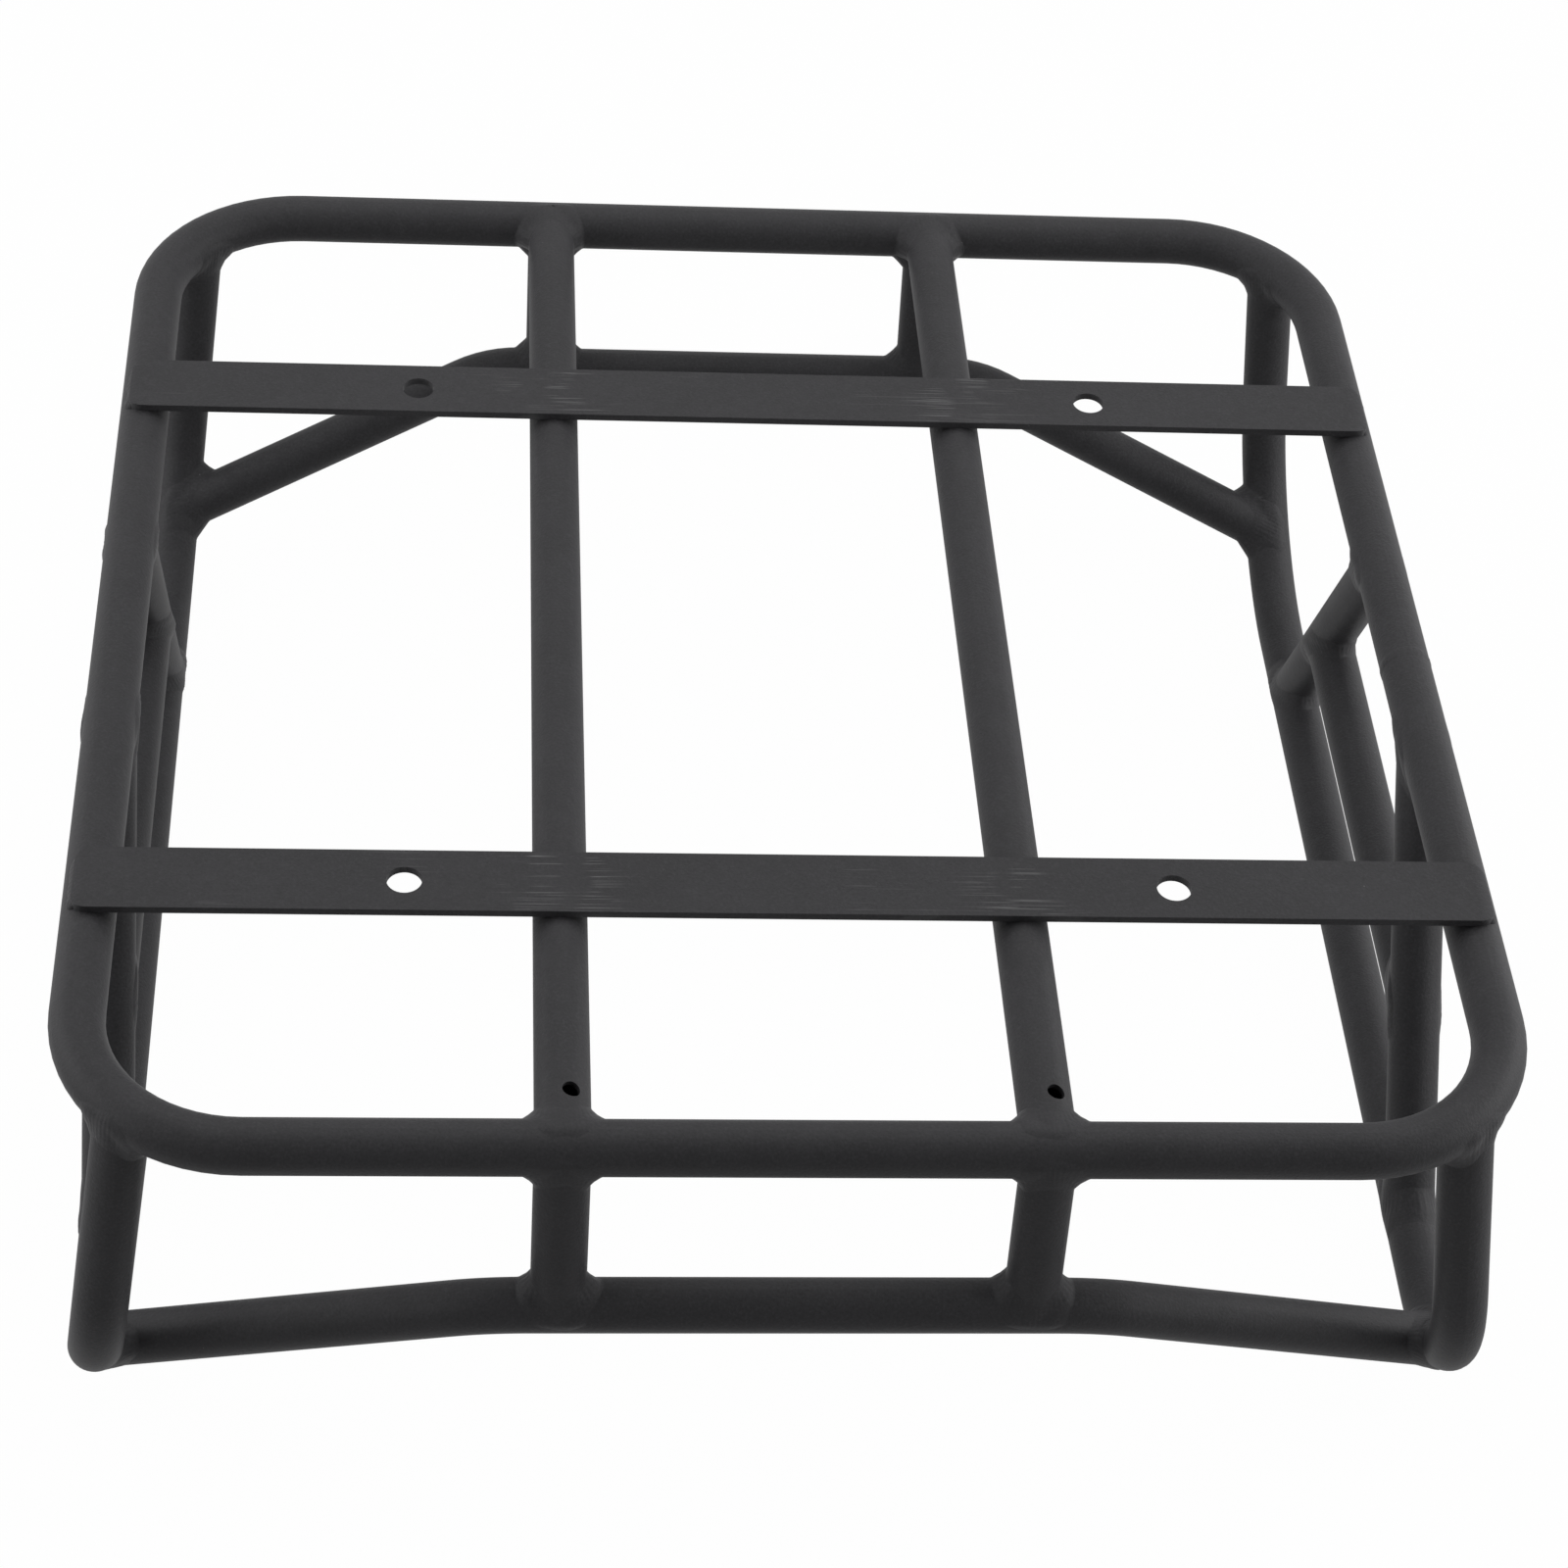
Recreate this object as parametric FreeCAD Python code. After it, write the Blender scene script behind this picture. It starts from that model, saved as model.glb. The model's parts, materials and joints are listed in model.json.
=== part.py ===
"""Welded steel tube luggage rack: a flat loop deck over two side hoops, braced and cross-strapped.

Every piece is built about the middle of the rack's footprint: X to the right, Y to the rear, Z up,
with the lower side rails resting on Z = 0. All sizes are in millimetres.
"""
import FreeCAD, Part
import math
import os

Vector = FreeCAD.Vector

# ---- stock -------------------------------------------------------------------------------------
TUBE_OD = 20.0              # round steel tube used for every bar
TUBE_WALL = 2.0
END_OVERRUN = 1.0           # a branch tube is made this far past the centre line it meets, then trimmed
STRAP_WIDTH = 30.0          # flat bar of the two cross straps
STRAP_THICKNESS = 3.0

# ---- deck loop ---------------------------------------------------------------------------------
DECK_WIDTH = 508.0          # side rail to side rail, tube centres
DECK_LENGTH = 534.0         # front rail to rear rail, tube centres
DECK_CORNER_R = 60.0        # bend radius of the loop's corners, tube centre
DECK_RISE = 141.5           # deck tube centre above lower side rail centre
SEAM_BEHIND_STRUT = 39.0    # butt weld that closes the loop, behind the right front strut's top
SEAM_ROOT_GAP = 1.6         # gap between the loop's two ends, filled by the weld
LONG_TUBE_SPACING = 169.0   # between the two lengthwise deck tubes

# ---- side hoops --------------------------------------------------------------------------------
HOOP_INSET = 0.5            # lower side rail stands this far inside the deck's side rail
FRONT_POST_ANGLE = 47.0     # where each post meets the loop's corner bend, from the X direction
REAR_POST_ANGLE = 42.0
FRONT_FOOT_AHEAD = 16.0     # corner of post line and lower rail line, ahead of the front rail
REAR_FOOT_INSET = 36.0      # the same corner at the rear, from the rear rail
FRONT_FOOT_R = 52.0         # bend radii where the hoop turns under, tube centre
REAR_FOOT_R = 86.0

# ---- lower cross rails -------------------------------------------------------------------------
LOWER_RAIL_BEND_R = 60.0
FRONT_KNEE_X = 109.5        # where the raised middle turns down to the wings
FRONT_MIDDLE_AHEAD = 12.5   # raised middle, ahead of the front rail and below the deck plane
FRONT_MIDDLE_DROP = 71.5
FRONT_WING_ANGLE = 31.0     # where the wing lands on the front foot bend, from straight down
FRONT_WING_OFFSET = 2.5     # wing axis meets the hoop this far outside the bend's centre line
REAR_KNEE_X = 110.5
REAR_MIDDLE_INSET = 20.0    # raised middle, from the rear rail
REAR_MIDDLE_DROP = 66.0
REAR_WING_ANGLE = 39.0

# ---- side bracing ------------------------------------------------------------------------------
STRUT_TOP_SPACING = 102.0   # between the two strut tops of one side
STRUT_TOPS_FORWARD = 5.0    # their middle lies this far ahead of the deck's middle
FRONT_STRUT_FOOT_Y = 86.5   # strut foot on the lower rail, from the front rail
REAR_STRUT_FOOT_INSET = 145.5   # from the rear rail
MID_RAIL_DROP = 80.0        # short rail between the struts, below the deck plane

# ---- cross straps and holes --------------------------------------------------------------------
FRONT_STRAP_Y = 114.5       # strap centre line, from the front rail
REAR_STRAP_INSET = 135.0    # strap centre line, from the rear rail
STRAP_END_ANGLE = 25.0      # how far each strap end wraps over its side rail
STRAP_CORNER_R = 6.0
BOLT_HOLE_D = 13.0
BOLT_SPACING = 282.0        # bolt holes across a strap
TIE_HOLE_D = 6.5
TIE_HOLE_FROM_FRONT = 18.5
TIE_HOLE_TILT = 17.0        # hole axis leans to the right of straight up

# ---- welds -------------------------------------------------------------------------------------
WELD_LEG = 3.0              # fillet weld, out from the branch tube along the one that carries it
WELD_RISE = 2.4             # and up the branch tube; unlike legs keep the two grown tubes from touching
SEAM_WELD_WIDTH = 6.0
SEAM_WELD_CROWN = 0.6
STRAP_WELD_ANGLE = 9.0      # bead that seals a strap's end to the side rail
STRAP_WELD_HEIGHT = 2.0
STRAP_WELD_INSET = 5.0      # bare length at each corner of the strap end

TOUCHING = 1e-4             # surfaces this near count as one when a tube is trimmed

SIDES = {"left": -1, "right": 1}
TUBE_R = TUBE_OD / 2
BORE_R = TUBE_R - TUBE_WALL
HALF_DECK = DECK_WIDTH / 2
HALF_HOOP = HALF_DECK - HOOP_INSET
HALF_LONG = LONG_TUBE_SPACING / 2

# Places along the deck, from the front rail.
FRONT_FOOT_Y = -FRONT_FOOT_AHEAD
REAR_FOOT_Y = DECK_LENGTH - REAR_FOOT_INSET
FRONT_MIDDLE_Y = -FRONT_MIDDLE_AHEAD
REAR_MIDDLE_Y = DECK_LENGTH - REAR_MIDDLE_INSET
STRUT_TOPS_MIDDLE_Y = DECK_LENGTH / 2 - STRUT_TOPS_FORWARD
FRONT_STRUT_TOP_Y = STRUT_TOPS_MIDDLE_Y - STRUT_TOP_SPACING / 2
REAR_STRUT_TOP_Y = STRUT_TOPS_MIDDLE_Y + STRUT_TOP_SPACING / 2
REAR_STRUT_FOOT_Y = DECK_LENGTH - REAR_STRUT_FOOT_INSET
REAR_STRAP_Y = DECK_LENGTH - REAR_STRAP_INSET
SEAM_Y = FRONT_STRUT_TOP_Y + SEAM_BEHIND_STRUT


def corner_bend_point(angle, y_centre, sign):
    """Point on the centre line of the loop's corner bend; sign is -1 at the front and 1 at the rear."""
    turn = math.radians(angle)
    x = HALF_DECK - DECK_CORNER_R + DECK_CORNER_R * math.cos(turn)
    return Vector(x, y_centre + sign * DECK_CORNER_R * math.sin(turn), 0)


def bend_setback(before, corner, after, radius):
    """Distance from a corner to where its bend starts."""
    turn = (before - corner).getAngle(after - corner)
    return radius / math.tan(turn / 2)


def bend_centre(before, corner, after, radius):
    """Centre of the bend that rounds a corner."""
    inward = (before - corner).normalize() + (after - corner).normalize()
    half_turn = (before - corner).getAngle(after - corner) / 2
    return corner + inward.normalize() * (radius / math.sin(half_turn))


# Corner points of a hoop in deck coordinates: Y from the front rail, Z from the deck plane.
FRONT_POST_TOP = corner_bend_point(FRONT_POST_ANGLE, DECK_CORNER_R, -1)
REAR_POST_TOP = corner_bend_point(REAR_POST_ANGLE, DECK_LENGTH - DECK_CORNER_R, 1)
FRONT_FOOT = Vector(HALF_HOOP, FRONT_FOOT_Y, -DECK_RISE)
REAR_FOOT = Vector(HALF_HOOP, REAR_FOOT_Y, -DECK_RISE)
FRONT_BEND = bend_centre(FRONT_POST_TOP, FRONT_FOOT, REAR_FOOT, FRONT_FOOT_R)
REAR_BEND = bend_centre(FRONT_FOOT, REAR_FOOT, REAR_POST_TOP, REAR_FOOT_R)


def mirrored(point, side):
    return Vector(side * point.x, point.y, point.z)


def route(points, radius_of_bend):
    """Wire of straight runs joined by tangent arcs; one radius for each inner point."""
    edges = []
    start = points[0]
    for i, radius in enumerate(radius_of_bend, 1):
        before, corner, after = points[i - 1], points[i], points[i + 1]
        setback = bend_setback(before, corner, after, radius)
        bend_start = corner + (before - corner).normalize() * setback
        bend_end = corner + (after - corner).normalize() * setback
        centre = bend_centre(before, corner, after, radius)
        middle = centre + (corner - centre).normalize() * radius
        edges.append(Part.LineSegment(start, bend_start).toShape())
        edges.append(Part.Arc(bend_start, middle, bend_end).toShape())
        start = bend_end
    edges.append(Part.LineSegment(start, points[-1]).toShape())
    return Part.Wire(edges)


def rod(points, radius_of_bend, radius):
    """Solid round bar along a route."""
    path = route(points, radius_of_bend)
    ring = Part.Wire(Part.Circle(points[0], points[1] - points[0], radius).toShape())
    return path.makePipe(Part.Face(ring)).Solids[0]


class Bar:
    """One tube: its route, its outer bar and its finished hollow shape, trimmed to its neighbours."""

    def __init__(self, points, bends=(), overrun=0.0):
        first = (points[0] - points[1]).normalize() * overrun
        last = (points[-1] - points[-2]).normalize() * overrun
        self.points = [points[0] + first] + points[1:-1] + [points[-1] + last]
        self.bends = bends
        self.outer = rod(points, bends, TUBE_R)

    def grown(self, allowance):
        return rod(self.points, self.bends, TUBE_R + allowance)

    def tube(self, headers=()):
        """Hollow tube with its ends cut to sit on the tubes that carry it."""
        shape = self.outer.cut(rod(self.points, self.bends, BORE_R))
        for header in headers:
            shape = shape.cut([header.outer], TOUCHING)
        return max(shape.Solids, key=lambda solid: solid.Volume)


def boxes_touch(first, second):
    return first.BoundBox.intersect(second.BoundBox)


def weld(branch, header, neighbours):
    """Fillet weld round a joint: what lies near both tubes, less every solid that it meets."""
    bead = branch.grown(WELD_LEG).common([header.grown(WELD_RISE)], TOUCHING)
    for solid in [branch.outer, header.outer] + neighbours:
        if boxes_touch(bead, solid):
            bead = bead.cut([solid], TOUCHING)
    return bead


def loop_bar():
    """Deck loop as one bent bar that starts and ends at the seam."""
    seam_x = HALF_DECK
    ahead = SEAM_Y - SEAM_ROOT_GAP / 2
    behind = SEAM_Y + SEAM_ROOT_GAP / 2
    points = [Vector(seam_x, behind, 0), Vector(HALF_DECK, DECK_LENGTH, 0),
              Vector(-HALF_DECK, DECK_LENGTH, 0), Vector(-HALF_DECK, 0, 0),
              Vector(HALF_DECK, 0, 0), Vector(seam_x, ahead, 0)]
    return Bar(points, [DECK_CORNER_R] * 4)


def hoop_bar(side):
    points = [FRONT_POST_TOP, FRONT_FOOT, REAR_FOOT, REAR_POST_TOP]
    return Bar([mirrored(point, side) for point in points], [FRONT_FOOT_R, REAR_FOOT_R], END_OVERRUN)


def long_bar(side):
    ends = [Vector(side * HALF_LONG, 0, 0), Vector(side * HALF_LONG, DECK_LENGTH, 0)]
    return Bar(ends, overrun=END_OVERRUN)


def foot_bend_point(centre, radius, angle, sign):
    """Point beside a foot bend, at an angle from straight down towards the rack's end."""
    turn = math.radians(angle)
    return Vector(HALF_HOOP, centre.y + sign * radius * math.sin(turn), centre.z - radius * math.cos(turn))


def lower_rail_bar(knee_x, middle_y, drop, wing_end):
    """Cross rail with a raised middle and two wings that drop to the hoops."""
    knee = Vector(knee_x, middle_y, -drop)
    points = [mirrored(wing_end, -1), mirrored(knee, -1), knee, wing_end]
    return Bar(points, [LOWER_RAIL_BEND_R] * 2, END_OVERRUN)


def front_lower_bar():
    end = foot_bend_point(FRONT_BEND, FRONT_FOOT_R + FRONT_WING_OFFSET, FRONT_WING_ANGLE, -1)
    return lower_rail_bar(FRONT_KNEE_X, FRONT_MIDDLE_Y, FRONT_MIDDLE_DROP, end)


def rear_lower_bar():
    end = foot_bend_point(REAR_BEND, REAR_FOOT_R, REAR_WING_ANGLE, 1)
    return lower_rail_bar(REAR_KNEE_X, REAR_MIDDLE_Y, REAR_MIDDLE_DROP, end)


def stub_bar(side, rail_y, middle_y, drop):
    ends = [Vector(side * HALF_LONG, rail_y, 0), Vector(side * HALF_LONG, middle_y, -drop)]
    return Bar(ends, overrun=END_OVERRUN)


def strut_ends(top_y, foot_y):
    return Vector(HALF_DECK, top_y, 0), Vector(HALF_HOOP, foot_y, -DECK_RISE)


def strut_bar(side, top_y, foot_y):
    return Bar([mirrored(point, side) for point in strut_ends(top_y, foot_y)], overrun=END_OVERRUN)


def mid_rail_bar(side):
    """Level rail between the two struts of one side."""
    share = MID_RAIL_DROP / DECK_RISE
    ends = []
    for top_y, foot_y in ((FRONT_STRUT_TOP_Y, FRONT_STRUT_FOOT_Y), (REAR_STRUT_TOP_Y, REAR_STRUT_FOOT_Y)):
        top, foot = strut_ends(top_y, foot_y)
        ends.append(mirrored(top + (foot - top) * share, side))
    return Bar(ends, overrun=END_OVERRUN)


def strap_sector(centre_x, inner_r, outer_r, start_angle, end_angle, side):
    """Ring sector about a side rail, as points in the XZ plane; angles from straight up, outwards."""
    corners = []
    for radius, angle in ((inner_r, start_angle), (inner_r, end_angle), (outer_r, end_angle),
                          (outer_r, start_angle)):
        turn = math.radians(angle)
        corners.append(Vector(centre_x + side * radius * math.sin(turn), 0, radius * math.cos(turn)))
    return corners


def sector_arc(centre_x, radius, start_angle, end_angle, side):
    points = []
    for angle in (start_angle, (start_angle + end_angle) / 2, end_angle):
        turn = math.radians(angle)
        points.append(Vector(centre_x + side * radius * math.sin(turn), 0, radius * math.cos(turn)))
    return Part.Arc(*points).toShape()


def cross_strap(strap_y):
    """Flat bar laid over the deck tubes, its ends formed down over the side rails, with two holes."""
    top_r = TUBE_R + STRAP_THICKNESS
    edges = []
    ends = {}
    for side in (-1, 1):
        rail_x = side * HALF_DECK
        ends[side] = strap_sector(rail_x, TUBE_R, top_r, 0, STRAP_END_ANGLE, side)
        edges.append(sector_arc(rail_x, TUBE_R, 0, STRAP_END_ANGLE, side))
        edges.append(sector_arc(rail_x, top_r, 0, STRAP_END_ANGLE, side))
        edges.append(Part.LineSegment(ends[side][1], ends[side][2]).toShape())
    edges.append(Part.LineSegment(ends[-1][0], ends[1][0]).toShape())
    edges.append(Part.LineSegment(ends[-1][3], ends[1][3]).toShape())
    profile = Part.Face(Part.Wire(Part.__sortEdges__(edges)))
    profile.translate(Vector(0, strap_y - STRAP_WIDTH / 2, 0))
    strap = profile.extrude(Vector(0, STRAP_WIDTH, 0))
    reach = ends[1][2].x
    low_corner = Vector(-reach, strap_y - STRAP_WIDTH / 2, 0)
    outline = Part.makeBox(2 * reach, STRAP_WIDTH, TUBE_R + top_r, low_corner)
    upright = [edge for edge in outline.Edges if edge.BoundBox.XLength + edge.BoundBox.YLength < 1]
    strap = strap.common(outline.makeFillet(STRAP_CORNER_R, upright))
    for side in (-1, 1):
        drill = Part.makeCylinder(BOLT_HOLE_D / 2, 2 * top_r, Vector(side * BOLT_SPACING / 2, strap_y, 0))
        strap = strap.cut(drill)
    return strap.Solids[0]


def strap_welds(strap_y):
    """Bead along both ends of one strap, lying against the strap's end and on the side rail."""
    beads = []
    length = STRAP_WIDTH - 2 * STRAP_WELD_INSET
    outer_r = TUBE_R + STRAP_WELD_HEIGHT
    last_angle = STRAP_END_ANGLE + STRAP_WELD_ANGLE
    for side in (-1, 1):
        rail_x = side * HALF_DECK
        corners = strap_sector(rail_x, TUBE_R, outer_r, STRAP_END_ANGLE, last_angle, side)
        edges = [sector_arc(rail_x, TUBE_R, STRAP_END_ANGLE, last_angle, side),
                 sector_arc(rail_x, outer_r, STRAP_END_ANGLE, last_angle, side),
                 Part.LineSegment(corners[0], corners[3]).toShape(),
                 Part.LineSegment(corners[1], corners[2]).toShape()]
        profile = Part.Face(Part.Wire(Part.__sortEdges__(edges)))
        profile.translate(Vector(0, strap_y - length / 2, 0))
        beads.append(profile.extrude(Vector(0, length, 0)))
    return Part.makeCompound(beads)


def seam_weld(loop):
    """Butt weld that fills the loop's root gap and stands a little proud."""
    start = Vector(HALF_DECK, SEAM_Y - SEAM_WELD_WIDTH / 2, 0)
    along = Vector(0, 1, 0)
    crown = Part.makeCylinder(TUBE_R + SEAM_WELD_CROWN, SEAM_WELD_WIDTH, start, along)
    crown = crown.makeFillet(SEAM_WELD_CROWN / 2, [edge for edge in crown.Edges if edge.Closed])
    bore = Part.makeCylinder(BORE_R, SEAM_WELD_WIDTH, start, along)
    return crown.cut(bore).cut(loop.outer).Solids[0]


def tie_hole(side):
    """Drill for the small hole near the front of a lengthwise tube, through its upper wall only."""
    tilt = math.radians(TIE_HOLE_TILT)
    axis = Vector(math.sin(tilt), 0, math.cos(tilt))
    start = Vector(side * HALF_LONG, TIE_HOLE_FROM_FRONT, 0)
    return Part.makeCylinder(TIE_HOLE_D / 2, TUBE_OD, start, axis)


def build():
    """All nodes by name, in deck coordinates."""
    loop = loop_bar()
    hoops = {name: hoop_bar(side) for name, side in SIDES.items()}
    longs = {name: long_bar(side) for name, side in SIDES.items()}
    lower = {"front": front_lower_bar(), "rear": rear_lower_bar()}
    stub_ends = {"front": (0.0, FRONT_MIDDLE_Y, FRONT_MIDDLE_DROP),
                 "rear": (DECK_LENGTH, REAR_MIDDLE_Y, REAR_MIDDLE_DROP)}
    strut_ys = {"front": (FRONT_STRUT_TOP_Y, FRONT_STRUT_FOOT_Y),
                "rear": (REAR_STRUT_TOP_Y, REAR_STRUT_FOOT_Y)}

    parts = {"top_loop": loop.tube(), "loop_seam_weld": seam_weld(loop)}
    joints = {}
    for name, side in SIDES.items():
        parts["long_tube_" + name] = longs[name].tube([loop]).cut(tie_hole(side))
        parts["side_hoop_" + name] = hoops[name].tube([loop])
        joints.setdefault("long_tube_welds", []).append((longs[name], loop))
        joints.setdefault("hoop_post_welds", []).append((hoops[name], loop))
    for end, rail in lower.items():
        parts[end + "_lower_rail"] = rail.tube(hoops.values())
        joints[end + "_lower_rail_welds"] = [(rail, hoop) for hoop in hoops.values()]
    for end, sizes in stub_ends.items():
        for name, side in SIDES.items():
            stub = stub_bar(side, *sizes)
            parts[end + "_stub_" + name] = stub.tube([loop, lower[end], longs[name]])
            joints.setdefault(end + "_stub_welds", []).extend([(stub, loop), (stub, lower[end])])
    for name, side in SIDES.items():
        struts = {}
        for end, (top_y, foot_y) in strut_ys.items():
            strut = strut_bar(side, top_y, foot_y)
            struts[end] = strut
            parts[end + "_strut_" + name] = strut.tube([loop, hoops[name]])
            joints.setdefault("strut_welds_" + name, []).extend([(strut, loop), (strut, hoops[name])])
        mid_rail = mid_rail_bar(side)
        parts["mid_rail_" + name] = mid_rail.tube(struts.values())
        joints["mid_rail_welds_" + name] = [(mid_rail, strut) for strut in struts.values()]

    outers = {id(bar): bar for pairs in joints.values() for pair in pairs for bar in pair}
    beads = []
    for node, pairs in joints.items():
        group = []
        for branch, header in pairs:
            others = [bar.outer for bar in outers.values() if bar is not branch and bar is not header]
            bead = weld(branch, header, others + beads)
            group.extend(bead.Solids)
            beads.extend(bead.Solids)
        parts[node] = Part.makeCompound(group)

    for end, strap_y in (("front", FRONT_STRAP_Y), ("rear", REAR_STRAP_Y)):
        parts["cross_strap_" + end] = cross_strap(strap_y)
        parts["strap_welds_" + end] = strap_welds(strap_y)
    return parts


def to_frame(parts):
    """Shift from deck coordinates to the rack's own frame: footprint centred, lower rails on the ground."""
    extent = Part.makeCompound(list(parts.values())).optimalBoundingBox(False, False)
    return Vector(0, -(extent.YMin + extent.YMax) / 2, DECK_RISE + TUBE_R)


def main():
    os.makedirs("parts", exist_ok=True)
    parts = build()
    shift = to_frame(parts)
    for node, shape in parts.items():
        placed = shape.copy()
        placed.translate(shift)
        placed.exportStep("parts/" + node + ".step")
        print(node, len(placed.Solids), placed.isValid(), round(placed.Volume, 1))
    print("front rail at y", round(shift.y, 3))


if __name__ == "__main__":
    main()
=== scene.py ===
"""Finish for a welded tube luggage rack: textured powder coat, hand-laid weld beads, eased flat
straps and a plain pale studio. All lengths are in metres."""

import json
import math

import bpy
import numpy as np
from bpy.props import FloatProperty, FloatVectorProperty, IntProperty, PointerProperty
from mathutils import Matrix, Vector


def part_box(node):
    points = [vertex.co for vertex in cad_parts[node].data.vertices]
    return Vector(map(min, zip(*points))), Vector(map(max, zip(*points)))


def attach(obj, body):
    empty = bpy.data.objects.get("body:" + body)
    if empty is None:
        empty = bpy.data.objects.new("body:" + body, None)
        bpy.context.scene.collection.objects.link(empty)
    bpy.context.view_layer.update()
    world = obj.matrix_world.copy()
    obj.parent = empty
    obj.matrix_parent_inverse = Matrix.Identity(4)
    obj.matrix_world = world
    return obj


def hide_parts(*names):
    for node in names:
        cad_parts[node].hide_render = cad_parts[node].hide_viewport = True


bl_info = {
    "name": "Welded Luggage Rack",
    "version": (1, 0, 0),
    "blender": (4, 5, 0),
    "location": "3D View > Sidebar > Rack",
    "description": "Coats, weld beads, straps and studio for a welded tube luggage rack",
    "category": "Object",
}

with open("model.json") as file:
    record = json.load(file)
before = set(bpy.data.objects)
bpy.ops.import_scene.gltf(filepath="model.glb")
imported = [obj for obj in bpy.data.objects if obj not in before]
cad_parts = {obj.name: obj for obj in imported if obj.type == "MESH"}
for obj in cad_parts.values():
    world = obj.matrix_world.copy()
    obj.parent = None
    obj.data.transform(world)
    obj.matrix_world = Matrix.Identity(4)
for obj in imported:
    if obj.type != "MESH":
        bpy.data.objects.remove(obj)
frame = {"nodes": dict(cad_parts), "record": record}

# ---- centre lines of the tubes, as the frame has them -------------------------------------------
TUBE_R = 0.010
LOOP_LOW, LOOP_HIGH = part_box("top_loop")
HALF_DECK = LOOP_HIGH.x - TUBE_R
DECK_LENGTH = LOOP_HIGH.y - LOOP_LOW.y - 2 * TUBE_R
DECK_RISE = LOOP_HIGH.z - 2 * TUBE_R
DECK_ORIGIN = Vector((0, LOOP_LOW.y + TUBE_R, LOOP_HIGH.z - TUBE_R))
CORNER_R = 0.060
HALF_HOOP = HALF_DECK - 0.0005
HALF_LONG = 0.0845
SEAM_Y = 0.250
POST_ANGLE = {"front": math.radians(47), "rear": math.radians(42)}
FOOT_Y = {"front": -0.016, "rear": 0.498}
FOOT_R = {"front": 0.052, "rear": 0.086}
KNEE_X = {"front": 0.1095, "rear": 0.1105}
MIDDLE_Y = {"front": -0.0125, "rear": 0.514}
MIDDLE_DROP = {"front": 0.0715, "rear": 0.066}
WING_ANGLE = {"front": math.radians(31), "rear": math.radians(39)}
WING_OFFSET = {"front": 0.0025, "rear": 0.0}
STRUT_TOP_Y = {"front": 0.211, "rear": 0.313}
STRUT_FOOT_Y = {"front": 0.0865, "rear": 0.3885}
MID_RAIL_DROP = 0.080
STRAP_Y = {"front": 0.1145, "rear": 0.399}
STRAP_WIDTH = 0.030
STRAP_THICKNESS = 0.003
STRAP_END_ANGLE = math.radians(25)
STRAP_CORNER_R = 0.006

ENDS = {"front": -1, "rear": 1}
SIDES = {"left": -1, "right": 1}
ACROSS = Vector((1, 0, 0))
ALONG = Vector((0, 1, 0))
UP = Vector((0, 0, 1))


# ---- settings a user would change ---------------------------------------------------------------
class RackWeldSettings(bpy.types.PropertyGroup):
    leg: FloatProperty(
        name="Bead Leg", description="Width of a fillet bead along the carrying tube",
        default=0.0052, min=0.002, max=0.008, unit="LENGTH")
    flank_share: FloatProperty(
        name="Flank Share", description="Bead size at the flanks of a joint, as a share of the leg",
        default=0.70, min=0.3, max=1.0, subtype="FACTOR")
    crown: FloatProperty(
        name="Crown", description="Extra height at the middle of a bead",
        default=0.00022, min=0.0, max=0.001, unit="LENGTH")
    ripple_pitch: FloatProperty(
        name="Ripple Pitch", description="Distance from one ripple of a bead to the next",
        default=0.0026, min=0.001, max=0.006, unit="LENGTH")
    ripple_height: FloatProperty(
        name="Ripple Height", description="Height of the ripples under the coat",
        default=0.00006, min=0.0, max=0.0005, unit="LENGTH")
    unevenness: FloatProperty(
        name="Unevenness", description="How much a hand-laid bead swells and narrows",
        default=0.11, min=0.0, max=0.3, subtype="FACTOR")
    steps_round: IntProperty(
        name="Steps Round", description="Mesh steps round one bead", default=168, min=48, max=400)
    steps_across: IntProperty(
        name="Steps Across", description="Mesh steps across one bead", default=12, min=6, max=32)


class RackStrapSettings(bpy.types.PropertyGroup):
    edge_radius: FloatProperty(
        name="Edge Radius", description="Rounding of the flat bar's edges and drilled holes",
        default=0.0007, min=0.0001, max=0.0014, unit="LENGTH")
    edge_steps: IntProperty(
        name="Edge Steps", description="Faces across a rounded edge", default=4, min=1, max=8)
    bead_leg: FloatProperty(
        name="End Bead Leg", description="Bead that seals a strap's end to the side rail",
        default=0.0036, min=0.001, max=0.005, unit="LENGTH")


class RackCoatSettings(bpy.types.PropertyGroup):
    colour: FloatVectorProperty(
        name="Coat Colour", description="Matt black powder coat",
        default=(0.0290, 0.0285, 0.0305), min=0.0, max=1.0, size=3, subtype="COLOR")
    scuff_colour: FloatVectorProperty(
        name="Scuff Colour", description="Light marks where the coat is scratched",
        default=(0.20, 0.20, 0.203), min=0.0, max=1.0, size=3, subtype="COLOR")
    roughness: FloatProperty(
        name="Roughness", description="Roughness of the coat between its grains",
        default=0.58, min=0.0, max=1.0, subtype="FACTOR")
    grain: FloatProperty(
        name="Grain", description="Size of the coat's grains",
        default=0.0011, min=0.0002, max=0.004, unit="LENGTH")
    grain_height: FloatProperty(
        name="Grain Height", description="Height of the coat's grains",
        default=0.00024, min=0.0, max=0.0008, unit="LENGTH")


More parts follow.
